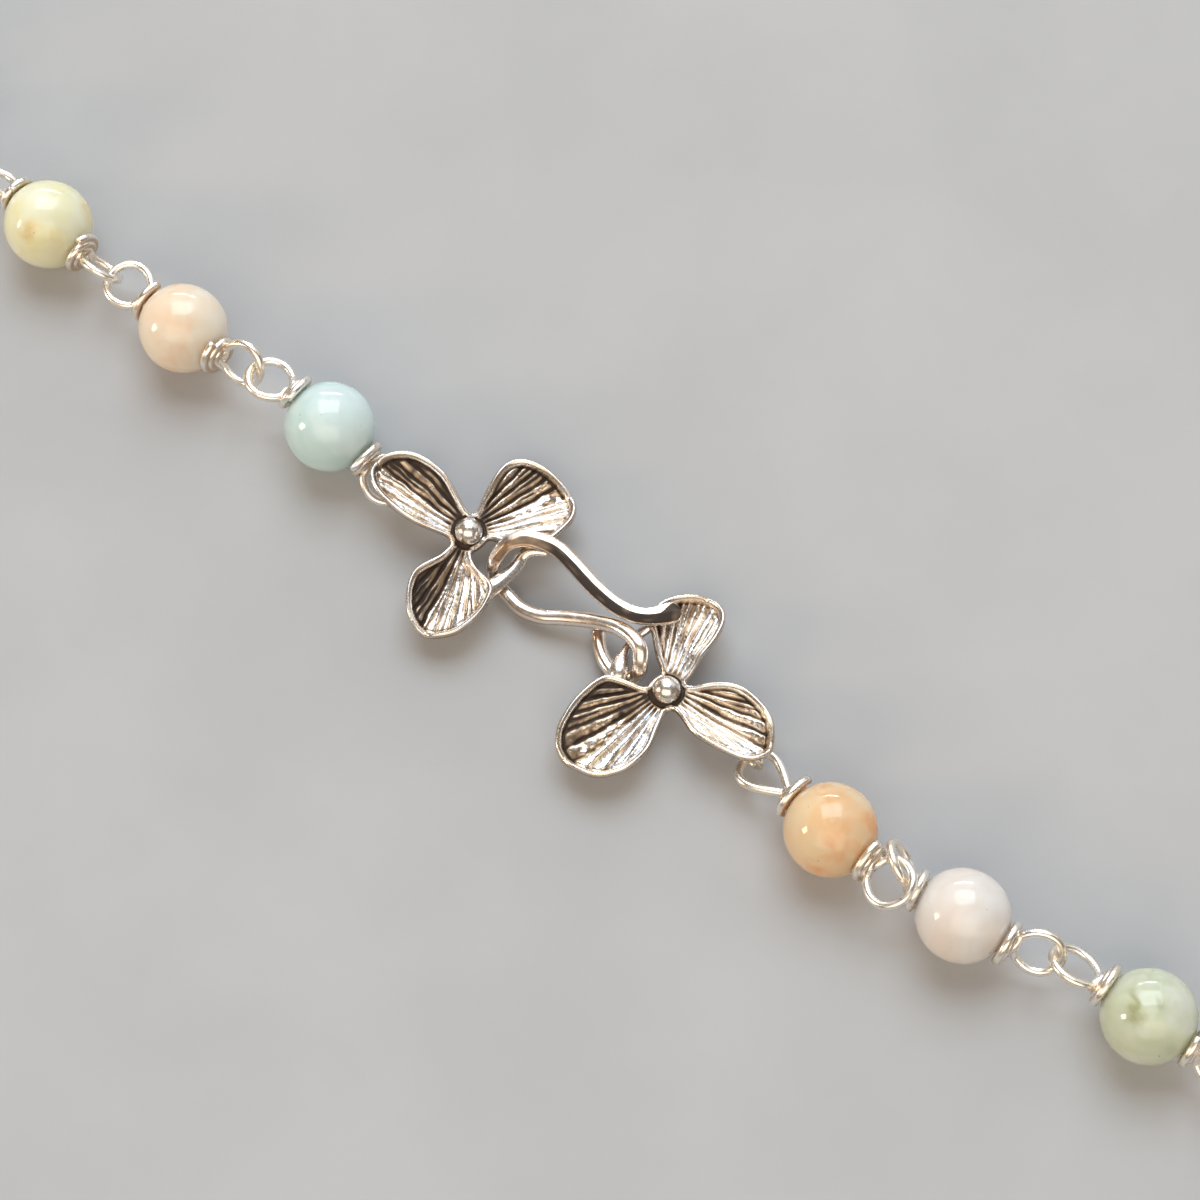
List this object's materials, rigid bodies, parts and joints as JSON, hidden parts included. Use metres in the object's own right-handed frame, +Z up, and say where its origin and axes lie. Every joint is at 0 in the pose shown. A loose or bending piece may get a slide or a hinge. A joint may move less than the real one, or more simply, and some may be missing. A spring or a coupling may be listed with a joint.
{
  "type": "gemstone necklace",
  "caption": "Necklace of round translucent beads on wrapped wire links with interlocking eyes, closed by a hook between two ribbed flower castings.",
  "frame": {"origin": "on the surface that the necklace lies on, under the middle of its outer box", "axes": "+X along the straight clasp side towards the right flower, +Y away from the clasp to the far side, +Z up"},
  "size_m": [0.1896, 0.0973, 0.006],
  "materials": {
    "aqua_stone": "polished translucent beryl, cloudy, with fine veins",
    "peach_stone": "polished translucent beryl, cloudy, with fine veins",
    "yellow_stone": "polished translucent beryl, cloudy, with fine veins",
    "green_stone": "polished translucent beryl, cloudy, with fine veins",
    "milky_stone": "polished translucent beryl, cloudy, with fine veins",
    "orange_stone": "polished translucent beryl, cloudy, with fine veins",
    "wire_silver": "polished silver wire",
    "cast_silver": "cast silver, bright ridges and rim, oxidised dark in the grooves",
    "hook_silver": "polished silver wire, lightly hammered"
  },
  "bodies": {
    "root": {"bead_01": "aqua_stone", "bead_02": "peach_stone", "bead_03": "yellow_stone", "bead_04": "green_stone", "bead_05": "yellow_stone", "bead_06": "green_stone", "bead_07": "yellow_stone", "bead_08": "peach_stone", "bead_09": "aqua_stone", "bead_10": "orange_stone", "bead_11": "aqua_stone", "bead_12": "orange_stone", "bead_13": "milky_stone", "bead_14": "green_stone", "bead_15": "yellow_stone", "bead_16": "green_stone", "bead_17": "yellow_stone", "bead_18": "peach_stone", "bead_19": "aqua_stone", "bead_20": "orange_stone", "bead_21": "aqua_stone", "bead_22": "orange_stone", "bead_23": "milky_stone", "bead_24": "green_stone", "bead_25": "yellow_stone", "bead_26": "green_stone", "bead_27": "yellow_stone", "bead_28": "peach_stone", "bead_29": "aqua_stone", "bead_30": "orange_stone", "bead_31": "aqua_stone", "bead_32": "orange_stone", "bead_33": "milky_stone", "bead_34": "green_stone", "bead_35": "milky_stone", "bead_36": "orange_stone", "wire_left": "wire_silver", "wire_right": "wire_silver", "flower_left": "cast_silver", "flower_right": "cast_silver", "hook": "hook_silver"}
  },
  "joints": []
}
